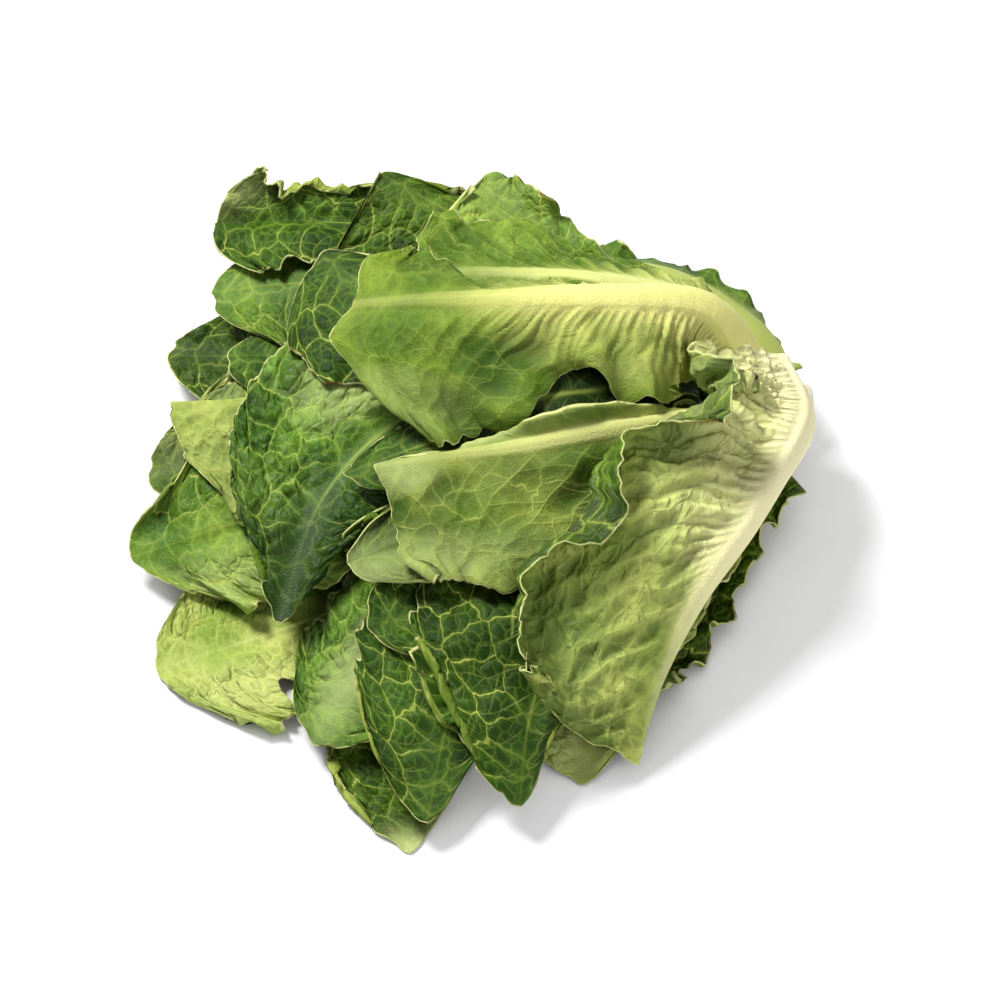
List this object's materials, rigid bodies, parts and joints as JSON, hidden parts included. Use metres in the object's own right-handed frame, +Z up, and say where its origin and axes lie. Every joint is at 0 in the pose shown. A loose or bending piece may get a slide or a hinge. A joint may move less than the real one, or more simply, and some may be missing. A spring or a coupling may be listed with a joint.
{
  "type": "romaine lettuce head",
  "caption": "Loose head of romaine lettuce lying on its side: long crinkled leaves with thick pale midribs, fanned out from a cut stem, the upper ones arched with their backs outwards.",
  "frame": {"origin": "on the surface the head lies on, under the middle of its box", "axes": "+Z up, +X from the leaf tips towards the cut stem, +Y towards the back of the fan"},
  "size_m": [0.2678, 0.2976, 0.0981],
  "materials": {
    "leaf_inner_face": "waxy dark green leaf with a pale vein network",
    "leaf_outer_face": "matt pale green leaf back with raised cream ribs",
    "heart_leaf": "pale yellow-green young leaf",
    "stem": "cut white stem, browned at the cut"
  },
  "bodies": {
    "root": {"leaf_floor_right": "leaf_inner_face", "leaf_floor_corner": "leaf_inner_face", "leaf_floor_left": "leaf_inner_face", "leaf_floor_back": "leaf_inner_face", "leaf_floor_back_left": "leaf_inner_face", "leaf_floor_front": "leaf_inner_face", "leaf_fan_high": "leaf_inner_face", "leaf_fan_mid": "leaf_inner_face", "leaf_back_shoulder": "leaf_outer_face", "leaf_fan_blistered": "leaf_inner_face", "leaf_fan_low": "leaf_inner_face", "leaf_fan_slim": "leaf_inner_face", "leaf_fan_smooth": "leaf_inner_face", "leaf_turned_over": "leaf_outer_face", "leaf_cupped": "leaf_inner_face", "leaf_fan_corner": "leaf_inner_face", "leaf_frill_lower": "leaf_inner_face", "leaf_fan_front": "leaf_inner_face", "leaf_front_inner": "leaf_outer_face", "leaf_peak": "leaf_inner_face", "leaf_ruffled": "leaf_inner_face", "leaf_fan_broad": "leaf_inner_face", "leaf_frill_upper": "leaf_inner_face", "heart_leaf_low": "heart_leaf", "heart_leaf_high": "heart_leaf", "leaf_under_tip": "leaf_inner_face", "leaf_flap": "leaf_inner_face", "leaf_middle": "leaf_outer_face", "leaf_crest": "leaf_outer_face", "leaf_top": "leaf_outer_face", "leaf_front": "leaf_outer_face", "stem_core": "stem"}
  },
  "joints": []
}
